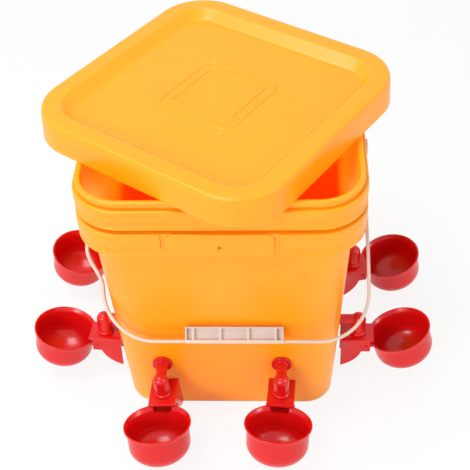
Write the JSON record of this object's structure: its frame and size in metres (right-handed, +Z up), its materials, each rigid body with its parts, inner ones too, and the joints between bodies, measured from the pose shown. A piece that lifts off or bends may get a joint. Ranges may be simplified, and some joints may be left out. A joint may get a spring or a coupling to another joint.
{
  "type": "poultry cup drinker",
  "caption": "Square water pail with a loose lid, a carrying bail and tipping drinking cups that swivel on valve fittings round its walls.",
  "frame": {"origin": "centre of the pail's footprint, on the surface that it stands on", "axes": "+Z up, -Y out of the front wall, where the bail rests, +X to the right seen from the front"},
  "size_m": [0.4143, 0.3689, 0.317],
  "materials": {
    "yellow_plastic": "satin moulded polypropylene",
    "red_plastic": "satin moulded polypropylene",
    "white_plastic": "satin moulded polyethylene",
    "black_rubber": "matte",
    "stainless_steel": "drawn wire"
  },
  "bodies": {
    "pail": {"bucket": "yellow_plastic", "front_right_inlet_elbow": "red_plastic", "front_right_wall_seal": "black_rubber", "front_right_lock_nut": "red_plastic", "front_right_stem_o_ring": "black_rubber", "front_left_inlet_elbow": "red_plastic", "front_left_wall_seal": "black_rubber", "front_left_lock_nut": "red_plastic", "front_left_stem_o_ring": "black_rubber", "right_front_inlet_elbow": "red_plastic", "right_front_wall_seal": "black_rubber", "right_front_lock_nut": "red_plastic", "right_front_stem_o_ring": "black_rubber", "left_front_inlet_elbow": "red_plastic", "left_front_wall_seal": "black_rubber", "left_front_lock_nut": "red_plastic", "left_front_stem_o_ring": "black_rubber", "right_back_inlet_elbow": "red_plastic", "right_back_wall_seal": "black_rubber", "right_back_lock_nut": "red_plastic", "right_back_stem_o_ring": "black_rubber", "left_back_inlet_elbow": "red_plastic", "left_back_wall_seal": "black_rubber", "left_back_lock_nut": "red_plastic", "left_back_stem_o_ring": "black_rubber"},
    "lid": {"lid": "yellow_plastic"},
    "bail": {"bail": "white_plastic"},
    "front_right_housing": {"front_right_valve_housing": "red_plastic", "front_right_hinge_pin": "red_plastic", "front_right_return_spring": "stainless_steel"},
    "front_right_cup": {"front_right_cup": "red_plastic", "front_right_valve_pad": "black_rubber"},
    "front_left_housing": {"front_left_valve_housing": "red_plastic", "front_left_hinge_pin": "red_plastic", "front_left_return_spring": "stainless_steel"},
    "front_left_cup": {"front_left_cup": "red_plastic", "front_left_valve_pad": "black_rubber"},
    "right_front_housing": {"right_front_valve_housing": "red_plastic", "right_front_hinge_pin": "red_plastic", "right_front_return_spring": "stainless_steel"},
    "right_front_cup": {"right_front_cup": "red_plastic", "right_front_valve_pad": "black_rubber"},
    "left_front_housing": {"left_front_valve_housing": "red_plastic", "left_front_hinge_pin": "red_plastic", "left_front_return_spring": "stainless_steel"},
    "left_front_cup": {"left_front_cup": "red_plastic", "left_front_valve_pad": "black_rubber"},
    "right_back_housing": {"right_back_valve_housing": "red_plastic", "right_back_hinge_pin": "red_plastic", "right_back_return_spring": "stainless_steel"},
    "right_back_cup": {"right_back_cup": "red_plastic", "right_back_valve_pad": "black_rubber"},
    "left_back_housing": {"left_back_valve_housing": "red_plastic", "left_back_hinge_pin": "red_plastic", "left_back_return_spring": "stainless_steel"},
    "left_back_cup": {"left_back_cup": "red_plastic", "left_back_valve_pad": "black_rubber"}
  },
  "joints": [
    {"name": "lid_lift", "type": "slide", "parent": "pail", "child": "lid", "axis": [0, 0, 1], "range_m": [0, 0.15]},
    {"name": "bail_swing", "type": "hinge", "parent": "pail", "child": "bail", "pos_m": [0, 0, 0.25], "axis": [-1, 0, 0], "range_deg": [0, 75]},
    {"name": "front_right_swivel", "type": "hinge", "parent": "pail", "child": "front_right_housing", "pos_m": [0.0524, -0.13111, 0.067], "axis": [0.0262, 0, 0.9997], "range_deg": [-26, 34]},
    {"name": "front_right_cup_tip", "type": "hinge", "parent": "front_right_housing", "child": "front_right_cup", "pos_m": [0.05112, -0.13959, 0.04082], "axis": [0.9972, -0.0698, -0.0261], "range_deg": [0, 13.5], "stiffness_Nm_per_rad": 0.02, "springref_deg": -28.65, "deforming": ["front_right_return_spring"]},
    {"name": "front_left_swivel", "type": "hinge", "parent": "pail", "child": "front_left_housing", "pos_m": [-0.0652, -0.13111, 0.067], "axis": [-0.0785, 0, 0.9969], "range_deg": [-27.5, 32.5]},
    {"name": "front_left_cup_tip", "type": "hinge", "parent": "front_left_housing", "child": "front_left_cup", "pos_m": [-0.06351, -0.13961, 0.04085], "axis": [0.996, -0.0436, 0.0784], "range_deg": [0, 12.5], "stiffness_Nm_per_rad": 0.02, "springref_deg": -28.65, "deforming": ["front_left_return_spring"]},
    {"name": "right_front_swivel", "type": "hinge", "parent": "pail", "child": "right_front_housing", "pos_m": [0.13111, -0.0495, 0.067], "axis": [0, 0.0872, 0.9962], "range_deg": [-29, 31]},
    {"name": "right_front_cup_tip", "type": "hinge", "parent": "right_front_housing", "child": "right_front_cup", "pos_m": [0.13961, -0.05193, 0.04091], "axis": [0.0175, 0.996, -0.0871], "range_deg": [0, 12], "stiffness_Nm_per_rad": 0.02, "springref_deg": -28.65, "deforming": ["right_front_return_spring"]},
    {"name": "left_front_swivel", "type": "hinge", "parent": "pail", "child": "left_front_housing", "pos_m": [-0.13111, -0.0485, 0.067], "axis": [0, 0.0872, 0.9962], "range_deg": [-26.5, 33.5]},
    {"name": "left_front_cup_tip", "type": "hinge", "parent": "left_front_housing", "child": "left_front_cup", "pos_m": [-0.1396, -0.05027, 0.04085], "axis": [-0.061, -0.9943, 0.087], "range_deg": [0, 7], "stiffness_Nm_per_rad": 0.02, "springref_deg": -28.65, "deforming": ["left_front_return_spring"]},
    {"name": "right_back_swivel", "type": "hinge", "parent": "pail", "child": "right_back_housing", "pos_m": [0.13111, 0.0505, 0.067], "axis": [0, 0.0175, 0.9998], "range_deg": [-45, 15]},
    {"name": "right_back_cup_tip", "type": "hinge", "parent": "right_back_housing", "child": "right_back_cup", "pos_m": [0.13932, 0.05224, 0.04077], "axis": [-0.2588, 0.9658, -0.0169], "range_deg": [0, 8], "stiffness_Nm_per_rad": 0.02, "springref_deg": -28.65, "deforming": ["right_back_return_spring"]},
    {"name": "left_back_swivel", "type": "hinge", "parent": "pail", "child": "left_back_housing", "pos_m": [-0.13111, 0.064, 0.067], "axis": [0, -0.0698, 0.9976], "range_deg": [-26.5, 33.5]},
    {"name": "left_back_cup_tip", "type": "hinge", "parent": "left_back_housing", "child": "left_back_cup", "pos_m": [-0.1396, 0.06635, 0.0409], "axis": [-0.061, -0.9957, -0.0696], "range_deg": [0, 9], "stiffness_Nm_per_rad": 0.02, "springref_deg": -28.65, "deforming": ["left_back_return_spring"]}
  ]
}
